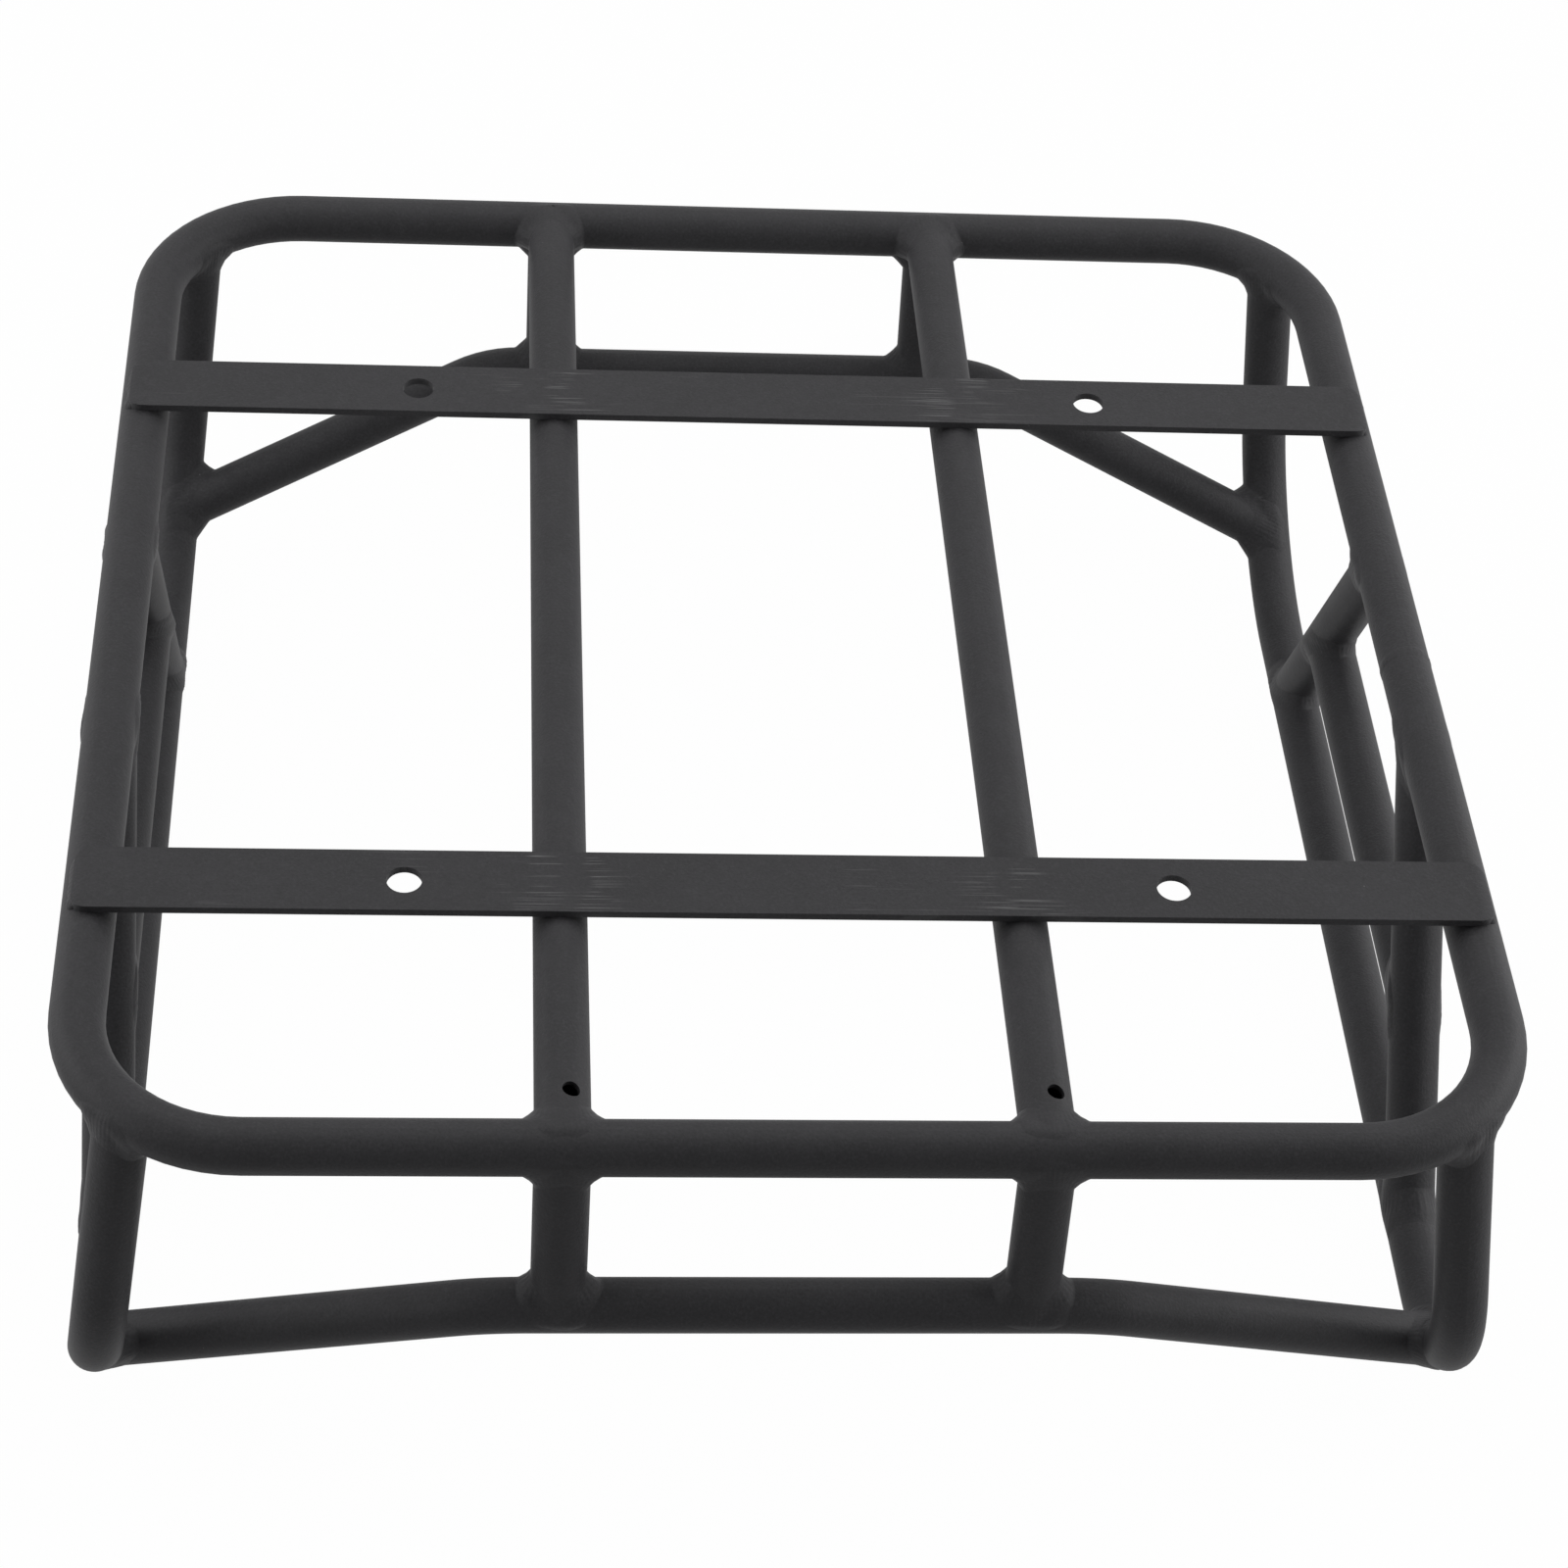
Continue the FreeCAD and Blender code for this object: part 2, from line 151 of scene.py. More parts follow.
class RackStudioSettings(bpy.types.PropertyGroup):
    floor_colour: FloatVectorProperty(
        name="Floor Colour", description="Plain pale floor",
        default=(0.60, 0.60, 0.60), min=0.0, max=1.0, size=3, subtype="COLOR")
    floor_glow: FloatProperty(
        name="Floor Whiteness", description="Share of plain white in what the camera sees of the floor",
        default=0.985, min=0.0, max=1.0, subtype="FACTOR")
    key_power: FloatProperty(
        name="Overhead Light", description="Power of the large overhead soft light",
        default=30.0, min=0.0, unit="POWER")
    fill_power: FloatProperty(
        name="Fill Light", description="Power of the left side light; the right one is stronger",
        default=13.0, min=0.0, unit="POWER")
    sky: FloatProperty(
        name="Surround", description="Strength of the even white surround", default=0.03, min=0.0)


class RackSettings(bpy.types.PropertyGroup):
    weld: PointerProperty(type=RackWeldSettings)
    strap: PointerProperty(type=RackStrapSettings)
    coat: PointerProperty(type=RackCoatSettings)
    studio: PointerProperty(type=RackStudioSettings)


# ---- materials ----------------------------------------------------------------------------------
DUST_PER_METRE = 210.0
DUST_SPECK = 0.055          # size of a speck, as a share of its cell
DUST_SHARE = 0.10           # share of the cells that hold a speck
PITS_PER_METRE = 95.0
PIT_SHARE = 0.07
PIT_DEPTH = 3.0             # in grain heights
SCRATCH_CELL = (28.0, 1500.0, 28.0)     # scratches per metre along, across and down
SCUFF_REACH = (0.030, 0.008)            # scuffs start and are full this near a long tube
GRAIN_PAINTED_HIGHLIGHT, GRAIN_PAINTED_SHADE = 1.8, 0.45      # painted highlight on the grain's tops and painted shade in its hollows, as multiples of the coat colour
# strength of the grain's painted highlight and painted shade
GRAIN_PAINTED_LIGHT_SHARE = 0.40


class Wire:
    """An output socket on which sums can be written; each operation adds its Math node."""

    def __init__(self, tree, socket):
        self.tree = tree
        self.socket = socket

    def _sum(self, operation, first, second=0.0):
        return self.tree.add("ShaderNodeMath", {"operation": operation}, {0: first, 1: second})

    def __add__(self, other):
        return self._sum("ADD", self, other)

    def __radd__(self, other):
        return self._sum("ADD", other, self)

    def __sub__(self, other):
        return self._sum("SUBTRACT", self, other)

    def __rsub__(self, other):
        return self._sum("SUBTRACT", other, self)

    def __mul__(self, other):
        return self._sum("MULTIPLY", self, other)

    def __rmul__(self, other):
        return self._sum("MULTIPLY", other, self)

    def __abs__(self):
        return self._sum("ABSOLUTE", self)

    def __gt__(self, other):
        return self._sum("GREATER_THAN", self, other)

    def __lt__(self, other):
        return self._sum("LESS_THAN", self, other)

    def ramp(self, low, high):
        """0 at low and 1 at high, smooth between."""
        return self.tree.add("ShaderNodeMapRange", {"interpolation_type": "SMOOTHSTEP"},
                             {"Value": self, "From Min": low, "From Max": high})


class Tree:
    """The nodes of one material or world."""

    def __init__(self, owner):
        owner.use_nodes = True
        self.tree = owner.node_tree
        self.tree.nodes.clear()

    def add(self, kind, settings=None, sockets=None, output=0):
        """A node of that kind, its settings made first, and one of its outputs as a Wire."""
        node = self.tree.nodes.new(kind)
        for name, value in (settings or {}).items():
            setattr(node, name, value)
        for name, value in (sockets or {}).items():
            if isinstance(value, Wire):
                self.tree.links.new(value.socket, node.inputs[name])
            else:
                node.inputs[name].default_value = value
        return Wire(self, node.outputs[output]) if len(node.outputs) else None

    def noise(self, place, size, detail=2.0, roughness=0.5):
        """Cloudy value from 0 to 1 with features of about that size."""
        return self.add("ShaderNodeTexNoise", None,
                        {"Vector": place, "Scale": 1 / size, "Detail": detail, "Roughness": roughness})

    def mix(self, share, first, second):
        """Colour between two colours."""
        node = {"data_type": "RGBA", "clamp_factor": True}
        return self.add("ShaderNodeMix", node, {"Factor": share, 6: first, 7: second}, output=2)

    def turned(self, place, turn, stretch):
        """The place turned about Z by an angle, then scaled along each axis."""
        return self.add("ShaderNodeMapping", {"vector_type": "POINT"},
                        {"Vector": place, "Rotation": (0.0, 0.0, turn), "Scale": stretch})


def rgba(colour, share=1.0):
    return tuple(channel * share for channel in colour) + (1.0,)


def coat_grain(tree, place, coat):
    """Height of the powder coat's grain and slow waviness, from about 0 to 1."""
    fine = tree.noise(place, coat.grain, detail=2.5, roughness=0.62)
    wavy = tree.noise(place, coat.grain * 5, detail=1.0)
    return fine * 0.78 + wavy * 0.22


def scattered_cells(tree, place, per_metre):
    """Distance from the middle of each small cell, and a random value for the cell."""
    cells = tree.add("ShaderNodeTexVoronoi", {"feature": "F1"}, {"Vector": place, "Scale": per_metre})
    picked = tree.add("ShaderNodeTexWhiteNoise", {"noise_dimensions": "3D"},
                      {"Vector": Wire(tree, cells.socket.node.outputs["Position"])})
    return cells, picked


def coat_dust(tree, place):
    """Sparse pale specks of dust, 0 or 1."""
    cells, picked = scattered_cells(tree, place, DUST_PER_METRE)
    patches = tree.noise(place, 0.06, detail=1.0).ramp(0.50, 0.66)
    return (cells < DUST_SPECK) * (picked > 1 - DUST_SHARE) * patches


def scratch_lines(tree, place, turn, seed):
    """Thin broken scratches that run one way."""
    lengthwise = tree.turned(place, turn, SCRATCH_CELL)
    shifted = tree.add("ShaderNodeVectorMath", {"operation": "ADD"}, {0: lengthwise, 1: (seed, seed, 0.0)})
    lines = tree.add("ShaderNodeTexNoise", None, {"Vector": shifted, "Scale": 1.0, "Detail": 0.0})
    return lines.ramp(0.69, 0.75)


def powder_coat(name, coat, scuffed=False, pitted=False):
    """Fine-texture matt black powder coat with a painted highlight on its grain's tops and painted shade in
    its hollows; straps are scuffed and welds have a few pinholes darkened with painted shade.
    """
    material = bpy.data.materials.new(name)
    tree = Tree(material)
    place = tree.add("ShaderNodeTexCoord", output="Object")
    grain = coat_grain(tree, place, coat)
    cloud = tree.noise(place, 0.030, detail=3.0)
    tone = tree.mix(cloud.ramp(0.30, 0.70), rgba(coat.colour, 0.90), rgba(coat.colour, 1.10))
    # Painted light: the grain's tops get a painted highlight and its hollows painted shade, set by the
    # grain's height.
    tone = tree.mix(grain.ramp(0.50, 0.68) * GRAIN_PAINTED_LIGHT_SHARE, tone, rgba(coat.colour, GRAIN_PAINTED_HIGHLIGHT))
    tone = tree.mix(grain.ramp(0.50, 0.32) * GRAIN_PAINTED_LIGHT_SHARE, tone, rgba(coat.colour, GRAIN_PAINTED_SHADE))
    dust = coat_dust(tree, place)
    height = grain
    marks = dust * 0.5
    if scuffed:
        split = tree.add("ShaderNodeSeparateXYZ", None, {"Vector": place})
        off_tube = abs(abs(split) - HALF_LONG)
        near_tube = off_tube.ramp(*SCUFF_REACH)
        patches = tree.noise(place, 0.016, detail=1.0).ramp(0.44, 0.62)
        scratches = (scratch_lines(tree, place, 0.5, 1.7) + scratch_lines(tree, place, 1.3, 5.1)
                     + scratch_lines(tree, place, 2.4, 9.3))
        rare = scratch_lines(tree, place, 1.45, 14.2) * tree.noise(place, 0.05).ramp(0.56, 0.70) * 0.5
        scuffs = scratches * near_tube * patches * 0.35 + rare * 0.4
        marks = marks + scuffs
        height = height - scuffs * 0.25
    if pitted:
        holes, picked = scattered_cells(tree, place, PITS_PER_METRE)
        pits = holes.ramp(0.085, 0.05) * (picked > 1 - PIT_SHARE)
        # Painted shade: each pinhole's colour is darkened to 0.12 of the coat colour; its dip is also bumped
        # in below.
        tone = tree.mix(pits * 0.85, tone, rgba(coat.colour, 0.12))
        height = height - pits * PIT_DEPTH
    tone = tree.mix(marks, tone, rgba(coat.scuff_colour))
    rough = coat.roughness + (cloud - 0.5) * 0.10 + (grain - 0.5) * 0.16 + marks * 0.15
    bump = tree.add("ShaderNodeBump", None,
                    {"Strength": 1.0, "Distance": coat.grain_height, "Height": height})
    surface = tree.add("ShaderNodeBsdfPrincipled", None,
                       {"Base Color": tone, "Roughness": rough, "Normal": bump,
                        "Specular IOR Level": 0.17})
    tree.add("ShaderNodeOutputMaterial", None, {"Surface": surface})
    return material


# ---- meshes -------------------------------------------------------------------------------------
def strip_faces(rows, columns, closed):
    """Quads of a grid of points; closed joins the last row to the first."""
    faces = []
    for row in range(rows if closed else rows - 1):
        after = (row + 1) % rows
        for column in range(columns - 1):
            faces.append((row * columns + column, after * columns + column,
                          after * columns + column + 1, row * columns + column + 1))
    return faces


def patch_object(name, patches):
    """One smooth mesh from (points, closed) grids in deck coordinates, each as rows by columns by 3."""
    points, faces = [], []
    for grid, closed in patches:
        rows, columns = grid.shape[:2]
        start = len(points)
        points.extend((grid.reshape(-1, 3) + np.array(DECK_ORIGIN)).tolist())
        faces.extend(tuple(start + i for i in face) for face in strip_faces(rows, columns, closed))
    mesh = bpy.data.meshes.new(name)
    mesh.from_pydata(points, [], faces)
    mesh.validate()
    mesh.polygons.foreach_set("use_smooth", [True] * len(mesh.polygons))
    mesh.update()
    piece = bpy.data.objects.new(name, mesh)
    bpy.context.scene.collection.objects.link(piece)
    return piece


def finish_piece(piece, node, material):
    """The piece rides on the rack, stands for its CAD node and takes its finish."""
    piece.data.materials.clear()
    piece.data.materials.append(material)
    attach(piece, "root")
    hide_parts(node)


def material_named(name):
    """The coat made by the coats operator."""
    material = bpy.data.materials.get(name)
    if material is None:
        raise RuntimeError("run the coats operator first: there is no material " + name)
    return material


# ---- weld joints --------------------------------------------------------------------------------
class StraightTube:
    """Centre line of a straight carrying tube."""

    def __init__(self, point, direction):
        self.point = np.array(point)
        self.heading = np.array(direction.normalized())

    def distance(self, places):
        offset = places - self.point
        along = (offset @ self.heading)[..., None] * self.heading
        return np.linalg.norm(offset - along, axis=-1)

    def heading_at(self, place):
        return self.heading


class BentTube:
    """Centre line of a bend in a carrying tube."""

    def __init__(self, centre, axis, radius):
        self.centre = np.array(centre)
        self.axis = np.array(axis)
        self.radius = radius

    def distance(self, places):
        offset = places - self.centre
        out_of_plane = offset @ self.axis
        in_plane = np.linalg.norm(offset - out_of_plane[..., None] * self.axis, axis=-1)
        return np.hypot(in_plane - self.radius, out_of_plane)

    def heading_at(self, place):
        heading = np.cross(self.axis, place - self.centre)
        return heading / np.linalg.norm(heading)


def mirrored(point, side):
    return Vector((side * point.x, point.y, point.z))


def bend_centre(before, corner, after, radius):
    """Centre of the bend that rounds a corner."""
    inward = (before - corner).normalized() + (after - corner).normalized()
    half_turn = (before - corner).angle(after - corner) / 2
    return corner + inward.normalized() * (radius / math.sin(half_turn))


def corner_centre(end):
    """Centre of the loop's right corner bend at one end."""
    return Vector((HALF_DECK - CORNER_R, CORNER_R if end == "front" else DECK_LENGTH - CORNER_R, 0))


def post_top(end):
    turn = POST_ANGLE[end]
    return corner_centre(end) + Vector((CORNER_R * math.cos(turn), ENDS[end] * CORNER_R * math.sin(turn), 0))


def foot(end):
    return Vector((HALF_HOOP, FOOT_Y[end], -DECK_RISE))


def foot_bend(end, side):
    """The bend that carries a hoop's post under; its plane leans in with the post."""
    other = "rear" if end == "front" else "front"
    centre = bend_centre(post_top(end), foot(end), foot(other), FOOT_R[end])
    axis = (post_top(end) - foot(end)).cross(ALONG).normalized()
    return BentTube(mirrored(centre, side), mirrored(axis, side), FOOT_R[end])


def wing_end(end):
    reach = FOOT_R[end] + WING_OFFSET[end]
    turn = WING_ANGLE[end]
    centre = Vector(foot_bend(end, 1).centre)
    return Vector((HALF_HOOP, centre.y + ENDS[end] * reach * math.sin(turn),
                   centre.z - reach * math.cos(turn)))


def middle(end, x):
    """Point on the raised middle of a lower cross rail."""
    return Vector((x, MIDDLE_Y[end], -MIDDLE_DROP[end]))


def strut_line(end, side):
    top = Vector((side * HALF_DECK, STRUT_TOP_Y[end], 0))
    low = Vector((side * HALF_HOOP, STRUT_FOOT_Y[end], -DECK_RISE))
    return top, low


def weld_joints():
    """Each weld node's joints, as (foot of the branch, point along the branch, carrying tube)."""
    joints = {}

    def add(node, start, toward, carrier):
        joints.setdefault(node, []).append((start, toward, carrier))

    for name, side in SIDES.items():
        lower_rail = StraightTube((side * HALF_HOOP, 0, -DECK_RISE), ALONG)
        side_rail = StraightTube((side * HALF_DECK, 0, 0), ALONG)
        mid_points = {}
        for end in ENDS:
            rail_y = 0.0 if end == "front" else DECK_LENGTH
            end_rail = StraightTube((0, rail_y, 0), ACROSS)
            low_middle = StraightTube(middle(end, 0), ACROSS)
            long_end = Vector((side * HALF_LONG, rail_y, 0))
            stub_low = middle(end, side * HALF_LONG)
            add("long_tube_welds", long_end, Vector((side * HALF_LONG, DECK_LENGTH / 2, 0)), end_rail)
            add(end + "_stub_welds", long_end, stub_low, end_rail)
            add(end + "_stub_welds", stub_low, long_end, low_middle)
            corner = BentTube(mirrored(corner_centre(end), side), UP, CORNER_R)
            add("hoop_post_welds", mirrored(post_top(end), side), mirrored(foot(end), side), corner)
            knee = middle(end, side * KNEE_X[end])
            bend = foot_bend(end, side)
            add(end + "_lower_rail_welds", mirrored(wing_end(end), side), knee, bend)
            top, low = strut_line(end, side)
            add("strut_welds_" + name, top, low, side_rail)
            add("strut_welds_" + name, low, top, lower_rail)
            mid_points[end] = (top.lerp(low, MID_RAIL_DROP / DECK_RISE), StraightTube(top, low - top))
        for end, other in (("front", "rear"), ("rear", "front")):
            start, strut = mid_points[end]
            add("mid_rail_welds_" + name, start, mid_points[other][0], strut)
    return joints


REACH = 0.055               # how far from a joint's centre a bead can lie
REACH_STEPS = 50
HALVINGS = 11
SEARCH_TILTS = np.radians(np.linspace(8, 150, 72))      # away from the branch
MISSED_LEAN = 9.0           # lean given to a ray that meets no skin
CHEVRON_BEND = 2.0          # how far a ripple trails behind at the toes
BURIED = 1.12               # a bead's edge runs this far past its toe, under the tube's surface
FILLET_FLATNESS = 0.72      # 0 is a hollow bead and 1 a flat one, before the crown
FLANK_THINNING = 0.70       # how much lower a bead is at the flanks, where the two tubes are level
BACK_SLOPE = 1.2            # how fast a bead dies out behind the carrying tube


class Bead:
    """Skin of one fillet bead, found along rays from the middle of its joint."""

    def __init__(self, start, toward, carrier, weld, dice):
        self.start = np.array(start)
        self.branch = np.array((toward - start).normalized())
        self.carrier = carrier
        self.weld = weld
        heading = carrier.heading_at(self.start)
        across = heading - (heading @ self.branch) * self.branch
        self.ahead = across / np.linalg.norm(across)
        self.flank = np.cross(self.branch, self.ahead)
        outward = self.branch - (self.branch @ heading) * heading
        self.outward = outward / np.linalg.norm(outward)
        self.turns = np.linspace(0, 2 * np.pi, weld.steps_round, endpoint=False)
        self.wobble = self.slow_wave(dice)
        self.swell = self.slow_wave(dice)
        flanks = np.sin(self.turns) ** 2
        share = 1 - (1 - weld.flank_share) * flanks
        self.leg = (weld.leg * share * (1 + weld.unevenness * self.wobble))[:, None]
        self.crown = (weld.crown * (1 + 0.6 * self.swell))[:, None]
        self.fullness = (1 - FLANK_THINNING * flanks)[:, None]
        self.phase = np.zeros((weld.steps_round, 1))
        self.ripple = 0.0

    def slow_wave(self, dice):
        """Closed uneven curve of about unit height round the bead."""
        wave = np.zeros_like(self.turns)
        for count in range(2, 8):
            wave += dice.normal() / math.sqrt(count) * np.cos(count * self.turns + dice.uniform(0, 2 * np.pi))
        return np.clip(wave / 1.2, -1.4, 1.4)

    def directions(self, tilt):
        """Unit rays, one row for each turn, tilted from the branch by the angles given."""
        sideways = (np.cos(self.turns)[:, None] * self.ahead + np.sin(self.turns)[:, None] * self.flank)
        return np.sin(tilt)[..., None] * sideways[:, None, :] + np.cos(tilt)[..., None] * self.branch

    def lean(self, places):
        """Where a place lies across the bead, from -1 at the branch's toe to 1 at the carrier's, and its
        height over the bead's skin."""
        offset = places - self.start
        along = (offset @ self.branch)[..., None] * self.branch
        to_branch = np.linalg.norm(offset - along, axis=-1) - TUBE_R
        behind = np.maximum(-(offset @ self.outward), 0)
        to_branch = np.where(behind > 0, np.maximum(to_branch, 0) + BACK_SLOPE * behind, to_branch)
        to_carrier = self.carrier.distance(places) - TUBE_R
        lean = (to_branch - to_carrier) / self.leg
        inside = np.maximum(1 - np.abs(lean), 0)
        fill = inside ** 2 / 4 * (1 - FILLET_FLATNESS) + inside / 2 * FILLET_FLATNESS
        fill = fill * self.fullness
        hump = 1 - np.minimum(lean ** 2, 1.4)
        chevrons = np.cos(self.phase + CHEVRON_BEND * lean ** 2) * np.maximum(hump, 0) ** 2
        skin = (np.minimum(to_branch, to_carrier) - self.leg * fill - self.crown * hump
                - self.ripple * chevrons)
        return lean, skin

    def skin(self, tilt):
        """First point of the skin along each ray, and its lean; rays that miss lean far out."""
        rays = self.directions(tilt)
        low = np.zeros(tilt.shape)
        high = np.full(tilt.shape, np.nan)
        for step in range(1, REACH_STEPS + 1):
            reach = REACH * step / REACH_STEPS
            _, value = self.lean(self.start + rays * reach)
            fresh = np.isnan(high)
            high = np.where(fresh & (value > 0), reach, high)
            low = np.where(fresh & (value <= 0), reach, low)
        missed = np.isnan(high)
        high = np.where(missed, REACH, high)
        for _ in range(HALVINGS):
            half = (low + high) / 2
            _, value = self.lean(self.start + rays * half[..., None])
            low = np.where(value <= 0, half, low)
            high = np.where(value > 0, half, high)
        places = self.start + rays * high[..., None]
        lean, _ = self.lean(places)
        side = np.where(tilt < np.pi / 4, -MISSED_LEAN, MISSED_LEAN)
        return places, np.where(missed, side, lean)

    def toes(self):
        """Tilts at which the skin dips under the branch and under the carrier, for each turn."""
        tilt = np.broadcast_to(SEARCH_TILTS, (len(self.turns), len(SEARCH_TILTS)))
        places, lean = self.skin(tilt)
        first, last, middles = [], [], []
        for row in range(len(self.turns)):
            first.append(self.crossing(tilt[row], lean[row], -BURIED))
            last.append(self.crossing(tilt[row], lean[row], BURIED))
            middles.append(places[row, np.argmin(np.abs(lean[row]))])
        middles = np.array(middles)
        gaps = np.linalg.norm(np.roll(middles, -1, axis=0) - middles, axis=1)
        return np.array(first), np.array(last), gaps

    @staticmethod
    def crossing(tilt, lean, level):
        """Tilt at which the lean first rises past a level."""
        past = int(np.argmax(lean > level))
        if past == 0:
            return tilt[0] if lean[0] > level else tilt[-1]
        before, after = lean[past - 1], lean[past]
        share = np.clip((level - before) / max(after - before, 1e-9), 0, 1)
        return tilt[past - 1] + share * (tilt[past] - tilt[past - 1])

    def grid(self):
        """Points of the bead's skin, as turns by steps across by 3."""
        first, last, gaps = self.toes()
        count = max(8, round(gaps.sum() / self.weld.ripple_pitch))
        travelled = np.concatenate([[0], np.cumsum(gaps)[:-1]]) / gaps.sum()
        self.phase = (2 * np.pi * count * travelled)[:, None]
        self.ripple = self.weld.ripple_height
        share = np.linspace(0, 1, self.weld.steps_across)
        tilt = first[:, None] + (last - first)[:, None] * share
        return self.skin(tilt)[0]


class RACK_OT_fillet_beads(bpy.types.Operator):
    """Lay the fillet beads round every tube joint"""
    bl_idname = "rack.fillet_beads"
    bl_label = "Lay Fillet Beads"

    def execute(self, context):
        weld = context.scene.rack.weld
        material = material_named("weld_powder_coat")
        for number, (node, joints) in enumerate(sorted(weld_joints().items())):
            dice = np.random.default_rng(100 + number)
            patches = [(Bead(*joint, weld, dice).grid(), True) for joint in joints]
            finish_piece(patch_object(node + "_laid", patches), node, material)
        return {"FINISHED"}


class RACK_OT_seam_bead(bpy.types.Operator):
    """Lay the butt weld that closes the deck loop"""
    bl_idname = "rack.seam_bead"
    bl_label = "Lay Seam Bead"

    half_width: FloatProperty(
        name="Half Width", description="Half the bead's width along the rail",
        default=0.0024, min=0.001, max=0.005, unit="LENGTH")
    crown: FloatProperty(
        name="Crown", description="Height of the bead over the rail",
        default=0.00022, min=0.0, max=0.002, unit="LENGTH")

    def execute(self, context):
        weld = context.scene.rack.weld
        dice = np.random.default_rng(7)
        turns = np.linspace(0, 2 * np.pi, 2 * weld.steps_round, endpoint=False)[:, None]
        wander = sum(dice.normal() * 0.0003 / count * np.cos(count * turns + dice.uniform(0, 6))
                     for count in range(1, 6))
        across = np.linspace(-1.15, 1.15, weld.steps_across)[None, :]
        ripples = round(2 * math.pi * TUBE_R / weld.ripple_pitch)
        ripple = 0.8 * weld.ripple_height * np.cos(ripples * turns + CHEVRON_BEND * across ** 2)
        hump = 1 - across ** 2
        radius = TUBE_R + self.crown * hump + ripple * np.maximum(hump, 0) ** 2
        place = np.stack([HALF_DECK + radius * np.sin(turns),
                          SEAM_Y + across * self.half_width * (1 + 0.1 * np.cos(3 * turns)) + wander,
                          radius * np.cos(turns)], axis=-1)
        piece = patch_object("loop_seam_weld_laid", [(place, True)])
        finish_piece(piece, "loop_seam_weld", material_named("weld_powder_coat"))
        return {"FINISHED"}


STRAP_BEAD_INSET = 0.0022   # a bead stops short of the bar's corners by this much
STRAP_BEAD_HEIGHT = 0.86    # height at the bar's end, as a share of its thickness


def strap_end_bead(side, strap_y, strap, dice):
    """Bead that runs along a strap's formed end and lies down on the side rail."""
    half = STRAP_WIDTH / 2
    length = np.linspace(-1, 1, 72)[:, None]
    offset = length * (half - STRAP_BEAD_INSET)
    flat_half = half - STRAP_CORNER_R
    into_corner = np.maximum(np.abs(offset) - flat_half, 0)
    pull_back = STRAP_CORNER_R - np.sqrt(np.maximum(STRAP_CORNER_R ** 2 - into_corner ** 2, 0))
    wave = sum(dice.normal() * 0.12 * np.cos(count * 2.1 * length + dice.uniform(0, 6))
               for count in range(1, 6))
    taper = np.sqrt(np.clip(1 - length ** 8, 0, 1))
    leg = strap.bead_leg * (1 + 0.5 * wave) * (0.25 + 0.75 * taper)
    top_height = STRAP_THICKNESS * STRAP_BEAD_HEIGHT * (0.2 + 0.8 * taper)
    across = np.linspace(-0.15, 1.08, 12)[None, :]
    end_angle = STRAP_END_ANGLE - pull_back / (TUBE_R + STRAP_THICKNESS / 2)
    angle = end_angle + (across * leg) / TUBE_R
    fall = np.clip(1 - np.clip(across, 0, None), -0.1, 1)
    height = top_height * np.sign(fall) * np.abs(fall) ** 0.62
    ripple = 0.00008 * np.cos(length * 34 + 2 * across ** 2) * np.clip(across * (1 - across) * 4, 0, 1)
    radius = TUBE_R + height + ripple
    return np.stack([side * (HALF_DECK + radius * np.sin(angle)),
                     strap_y + np.broadcast_to(offset, radius.shape),
                     radius * np.cos(angle)], axis=-1)[:: side]


class RACK_OT_straps(bpy.types.Operator):
    """Ease the edges and holes of the two flat straps and seal their ends to the side rails"""
    bl_idname = "rack.straps"
    bl_label = "Finish Straps"

    def execute(self, context):
        strap = context.scene.rack.strap
        dice = np.random.default_rng(23)
        for end, strap_y in STRAP_Y.items():
            node = "cross_strap_" + end
            source = frame["nodes"][node]
            bare = bpy.data.meshes.new(node + "_eased")
            bare.from_pydata([vertex.co for vertex in source.data.vertices], [],
                             [tuple(face.vertices) for face in source.data.polygons])
            piece = bpy.data.objects.new(node + "_eased", bare)
            context.scene.collection.objects.link(piece)
            ease_edges(piece, strap)
            finish_piece(piece, node, material_named("strap_powder_coat"))
            beads = [(strap_end_bead(side, strap_y, strap, dice), False) for side in SIDES.values()]
            node = "strap_welds_" + end
            finish_piece(patch_object(node + "_laid", beads), node,
                         material_named("weld_powder_coat"))
        return {"FINISHED"}


def ease_edges(piece, strap):
    """Join the facets of a flat bar into plain faces and round its sharp edges."""
    weld = piece.modifiers.new("Join Facets", "WELD")
    weld.merge_threshold = 1e-6
    flatten = piece.modifiers.new("Plain Faces", "DECIMATE")
    flatten.decimate_type = "DISSOLVE"
    flatten.angle_limit = math.radians(0.5)
    round_over = piece.modifiers.new("Round Edges", "BEVEL")
    round_over.width = strap.edge_radius
    round_over.segments = strap.edge_steps
    round_over.limit_method = "ANGLE"
    round_over.angle_limit = math.radians(50)
    round_over.use_clamp_overlap = True
    level = piece.modifiers.new("Level Shading", "WEIGHTED_NORMAL")
    level.mode = "FACE_AREA"
    level.weight = 100
    piece.data.polygons.foreach_set("use_smooth", [True] * len(piece.data.polygons))
    bpy.context.view_layer.update()
    shaped = bpy.data.meshes.new_from_object(
        piece.evaluated_get(bpy.context.evaluated_depsgraph_get()))
    piece.modifiers.clear()
    piece.data = shaped


